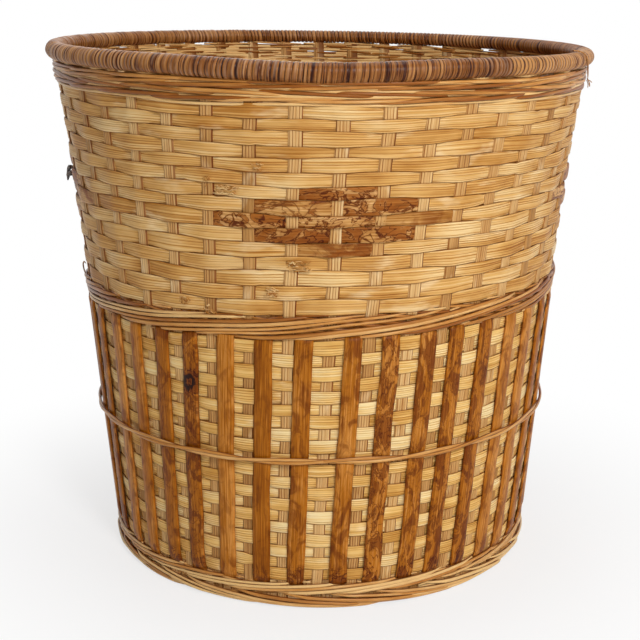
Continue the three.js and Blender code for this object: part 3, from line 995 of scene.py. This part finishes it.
def add_binding(material, node, start, end, width, uneven, seed):
    """One length of the cane wound round the rim. Its turns differ in width, depth and tone."""
    rng = np.random.default_rng(seed)
    arc = math.radians(end - start) * (RIM_RADIUS + RIM_DEPTH / 2)
    count = round(arc / width)
    widths = rng.uniform(1 - uneven, 1 + uneven, count)
    edges = np.concatenate([[0], np.cumsum(widths)]) / widths.sum()
    turns = np.append((np.arange(count)[:, None] + TURN_PLACES).ravel(), count)
    share = np.interp(turns, np.arange(count + 1), edges)
    inside = np.minimum(turns % 1, 1 - turns % 1)
    deep = rng.uniform(1 - 2 * uneven, 1.0, count + 1)[np.rint(turns).astype(int)]
    groove = TURN_GROOVE * deep * (1 - np.minimum(inside / TURN_GROOVE_REACH, 1)) ** 2
    number = np.minimum(turns.astype(int), count - 1)
    bulge = TURN_BULGE * uneven * rng.uniform(-1, 1, count)[number]
    out = (bulge - groove)[:, None]
    angle = math.radians(start) + share * math.radians(end - start)
    turned = within_half_turn(angle)
    tone = np.interp(turned, RIM_TONE_ANGLES, RIM_TONES) + TURN_TONES * rng.uniform(0, 1, count)[number]
    height = np.interp(turned, RIM_ANGLES, RIM_HEIGHTS)[:, None]
    turn = np.arange(RIM_CORNERS) / RIM_CORNERS * 2 * math.pi - math.pi / 2
    radius = RIM_RADIUS + (RIM_DEPTH / 2 + out) * np.cos(turn)
    level = rim_level(angle)[:, None] + (height / 2 + out) * np.sin(turn)
    slant = TURN_SLANT / RIM_RADIUS * np.sin(turn)
    rings = place(radius, angle[:, None] + slant, level)
    circle = np.arange(RIM_CORNERS + 1) / RIM_CORNERS * math.pi * RIM_DEPTH
    skins = Skins()
    # The mark is each groove's depth, which sets the painted shade between turns
    skins.add(rings, np.append(turns, count + 1) * CANE_TURN, circle, tone, deep)
    return skins.piece(node + "_turns", material, "rim_cane", node)


def add_rim_hoop(material, node, side):
    """A lath inside the binding."""
    count = STAKES * LATH_STEPS
    angle = np.arange(count) / count * 2 * math.pi
    order = slice(None) if side == OUTER else slice(None, None, -1)
    depth = (LATH_DEPTHS * side)[order]
    level = rim_level(angle)[:, None] + LATH_HEIGHTS[order]
    rings = place(RIM_RADIUS + depth, angle[:, None], level)
    along = length_of(np.arange(count + 1) / LATH_STEPS)
    skins = Skins()
    skins.add(rings[:, ::-1], along, LATH_AROUND, 0.5, is_loop=True)
    return skins.piece(node + "_lath", material, "lath", node)


def add_base(material):
    """The base inside: strips woven over and under each other in two directions."""
    reach = wall_radius(0) - MAT_MARGIN
    pitch = 2 * reach / MAT_STRIPS
    across, depth = strip_section(MAT_CORNERS, MAT_CROWN, MAT_THICKNESS)
    around = closed(across) * pitch / 2
    skins = Skins()
    for direction in range(2):
        for k in range(MAT_STRIPS):
            middle = (k + 0.5) * pitch - reach
            chord = math.sqrt(reach**2 - middle**2)
            along = np.linspace(-chord, chord, int(chord / pitch * MAT_STEPS))
            over = np.cos(math.pi * ((along + reach) / pitch - 0.5 + k + direction))
            level = MAT_LEVEL + MAT_SWING * over[:, None] + depth
            side = middle + across * pitch * MAT_COVER
            run, side, level = np.broadcast_arrays(along[:, None], side, level)
            rings = np.stack([run, side, level] if direction else [-side, run, level], -1)
            far = np.maximum(np.hypot(rings[..., 0], rings[..., 1]) / reach, 1)
            rings[..., :2] /= far[..., None]
            rng = np.random.default_rng(300 + k + 50 * direction)
            skins.add(rings, np.append(along, chord), around, rng.uniform(0, 1))
    return skins.piece("base_mat", material, "stake", "base_and_stakes")


def tube_rings(path, thickness, corners=6):
    """Round cross-sections along a path of points. thickness has a value for each point."""
    tangent = np.gradient(path, axis=0)
    tangent = tangent / np.linalg.norm(tangent, axis=1)[:, None]
    outward = path * (1, 1, 0)
    side = np.cross(outward, tangent)
    side = side / np.linalg.norm(side, axis=1)[:, None]
    up = np.cross(tangent, side)
    turn = np.arange(corners)[:, None] / corners * 2 * math.pi
    around = np.cos(turn) * up[:, None] + np.sin(turn) * side[:, None]
    return path[:, None] + np.asarray(thickness)[:, None, None] / 2 * around


def smooth_path(points, count):
    """Points along a curve that rounds off the corners between these points."""
    points = np.array(points, float)
    knots = np.arange(len(points))
    fine = np.linspace(0, len(points) - 1, count)
    path = np.stack([np.interp(fine, knots, column) for column in points.T], -1)
    for _ in range(count // 3):
        path[1:-1] = (path[:-2] + 2 * path[1:-1] + path[2:]) / 4
    return path


def add_tube(skins, path, thickness, tone):
    """A loose cane or fibre that thins out at its end."""
    taper = np.minimum(1, np.linspace(4, 0.3, len(path)))
    rings = tube_rings(path, thickness * taper)
    corners = rings.shape[1]
    along = np.append(0, np.cumsum(np.linalg.norm(np.diff(path, axis=0), axis=1)))
    around = np.arange(corners + 1) / corners * math.pi * thickness
    skins.add(rings, np.append(along, along[-1]), around, tone)


def add_frayed_fibres(material):
    """Splinters that have lifted from the weavers."""
    skins = Skins()
    rng = np.random.default_rng(9)
    share = np.linspace(0, 1, FRAY_SECTIONS)
    for degrees, height, reach, count in FRAYS:
        for _ in range(count):
            run = rng.uniform(0.5, 1.0) * reach * MM
            start = rng.uniform(-reach, reach - run / MM) * MM
            level = (height + rng.uniform(-FRAY_SPREAD_MM, FRAY_SPREAD_MM)) * MM
            level = level + FRAY_WAVE * wander(share * 5, rng.integers(1000))
            lift = FRAY_SEAT + rng.uniform(0.1, 1.3) * MM * np.sin(share * rng.uniform(1.5, 3.0))
            radius = wall_radius(level) + lift
            path = place(radius, math.radians(degrees) + (start + share * run) / radius, level)
            add_tube(skins, path, rng.uniform(0.3, 0.65) * MM, rng.uniform(-0.6, 2.8))
    return skins.piece("frayed_fibres", material, "upper_splint")


def add_loose_ends(name, material, slot, tone, ends):
    skins = Skins()
    for thickness, points in ends:
        degrees, out, height = np.array(points, float).T
        level = height * MM
        path = place(wall_radius(level) + out * MM, np.radians(degrees), level)
        add_tube(skins, smooth_path(path, LOOSE_SECTIONS), thickness * MM, tone)
    return skins.piece(name, material, slot)


def add_basket():
    lower = Weaver("lower_weaver", LOWER_ROWS, CLIMB_START - 1, seed=70)
    upper = Weaver("upper_weaver", UPPER_ROWS, CLIMB_START, seed=80)
    add_weaver(lower, LOWER, "lower_splint")
    add_weaver(upper, UPPER, "upper_splint")
    add_stakes(STAKE)
    add_slats(BARK)
    for number, stake in enumerate(MOTIF_STAKES):
        add_motif(upper, MOTIF_BARK, stake, number + 1)
    add_wale("foot_wale", ROD, foot_layers(), "foot_hoop")
    add_wale("waist_wale", ROD, waist_layers())
    add_wale("top_wale", ROD, top_layers())
    add_twine(ROD)
    for number, binding in enumerate(BINDINGS):
        add_binding(CANE, f"rim_binding_{number + 1:02d}", *binding)
    add_rim_hoop(LATH, "rim_hoop_inner", INNER)
    add_rim_hoop(LATH, "rim_hoop_outer", OUTER)
    add_base(MAT)
    add_frayed_fibres(UPPER)
    add_loose_ends("loose_cane_ends", CANE, "rod", 1.5, CANE_ENDS)
    add_loose_ends("loose_bark_tuft", TUFT_BARK, "bark_slat", 0.5, TUFT)


# Studio


def add_camera():
    camera = add_object("camera", bpy.data.cameras.new("camera"))
    camera.data.lens = CAMERA_LENS
    camera.data.sensor_width = CAMERA_SENSOR
    camera.location = CAMERA_PLACE
    camera.rotation_euler = (CAMERA_TILT, 0, 0)
    bpy.context.scene.camera = camera


def add_lamp(name, place_at, size, power):
    lamp = add_object(name, bpy.data.lights.new(name, "AREA"))
    lamp.data.shape = "DISK"
    lamp.data.size = size
    lamp.data.energy = power
    lamp.location = place_at
    lamp.rotation_euler = (Vector(LAMP_AIM) - Vector(place_at)).to_track_quat("-Z", "Y").to_euler()


def seen_plainly(tree):
    """1 for rays from the camera, and those that a mirror or a glass passes on."""
    path = tree.nodes.new("ShaderNodeLightPath")
    total = path.outputs["Is Camera Ray"]
    for kind in ("Is Glossy Ray", "Is Transmission Ray"):
        either = tree.nodes.new("ShaderNodeMath")
        either.operation = "MAXIMUM"
        tree.links.new(total, either.inputs[0])
        tree.links.new(path.outputs[kind], either.inputs[1])
        total = either.outputs[0]
    return total


def add_floor():
    """A pale floor that keeps the shadow near the basket and is white to the camera farther off."""
    mesh = bpy.data.meshes.new("floor")
    corners = [(x * FLOOR_REACH, y * FLOOR_REACH, 0) for x, y in ((-1, -1), (1, -1), (1, 1), (-1, 1))]
    mesh.from_pydata(corners, [], [(0, 1, 2, 3)])
    floor = add_object("floor", mesh)
    g = Graph("floor")
    g.set(Base_Color=(0.95, 0.95, 0.95, 1), Roughness=0.9)
    position = g.node("NewGeometry").outputs["Position"]
    distance = g.node("VectorMath", {0: position}, operation="LENGTH").outputs["Value"]
    far = g.mask(distance, FLOOR_NEAR, FLOOR_FAR)
    share = g.math("MULTIPLY_ADD", far, 1 - FLOOR_WHITE, FLOOR_WHITE)
    white = g.math("MULTIPLY", seen_plainly(g.tree), share)
    emission = g.node("Emission", {"Color": (1, 1, 1, 1), "Strength": 1.0}).outputs[0]
    blend = g.node("MixShader", {0: white, 1: g.shader.outputs[0], 2: emission}).outputs[0]
    g.feed(g.tree.nodes["Material Output"].inputs["Surface"], blend)
    mesh.materials.append(g.material)


def add_world():
    """White to the camera, and a soft light on the basket."""
    world = bpy.data.worlds.new("studio")
    bpy.context.scene.world = world
    world.use_nodes = True
    tree = world.node_tree
    background = tree.nodes["Background"]
    background.inputs["Color"].default_value = (1, 1, 1, 1)
    strength = tree.nodes.new("ShaderNodeMapRange")
    strength.inputs["To Min"].default_value = WORLD_LEVEL
    tree.links.new(seen_plainly(tree), strength.inputs["Value"])
    tree.links.new(strength.outputs[0], background.inputs["Strength"])


add_basket()
add_camera()
for name, lamp in LAMPS.items():
    add_lamp(name, *lamp)
add_floor()
add_world()
bpy.context.scene.view_settings.view_transform = "Standard"
